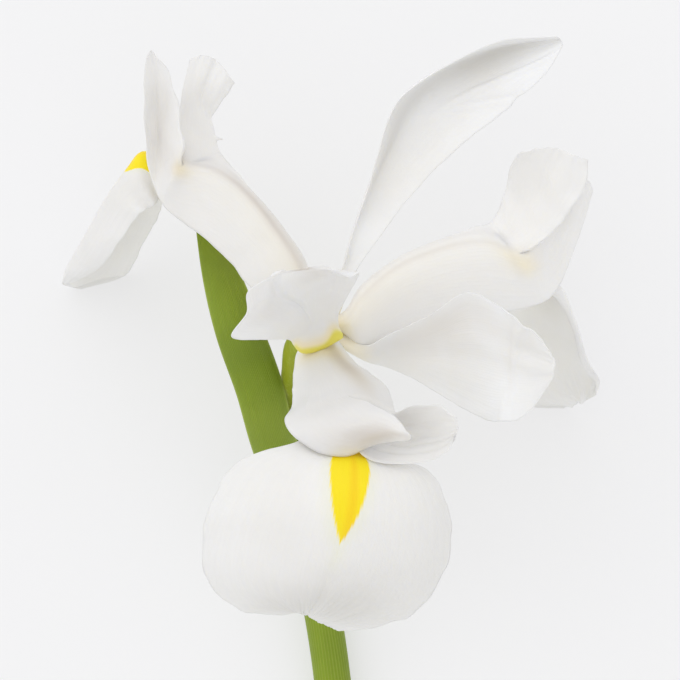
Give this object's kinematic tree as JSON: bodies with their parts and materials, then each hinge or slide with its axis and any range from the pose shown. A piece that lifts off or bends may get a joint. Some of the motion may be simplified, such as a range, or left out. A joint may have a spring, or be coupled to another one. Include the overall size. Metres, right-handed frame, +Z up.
{
  "type": "iris flower",
  "caption": "White bulbous iris flower with yellow signals on a cut green stem with a sheathing spathe, lying on its back",
  "frame": {"origin": "under the middle of the whole flower, on the surface it lies on", "axes": "+Z up from the surface; the stem runs from the flower towards -Y; +X is the right side as seen from above with the stem at the bottom"},
  "size_m": [0.0986, 0.1904, 0.0891],
  "materials": {
    "stem_green": "satin, faintly ribbed plant stem",
    "spathe_green": "satin leaf with fine parallel veins",
    "tube_yellow_green": "satin",
    "petal_white": "soft matte petal with fine veins",
    "style_cream": "soft matte petal, cream along the middle",
    "pollen_cream": "powdery"
  },
  "bodies": {
    "root": {"stem": "stem_green", "spathe": "spathe_green", "ovary": "tube_yellow_green", "fall_front": "petal_white", "fall_left": "petal_white", "fall_right": "petal_white", "standard_back": "petal_white", "standard_right": "petal_white", "standard_left": "petal_white", "style_arm_front": "style_cream", "style_arm_left": "style_cream", "style_arm_right": "style_cream", "stamen_front": "pollen_cream", "stamen_left": "pollen_cream", "stamen_right": "pollen_cream"}
  },
  "joints": []
}
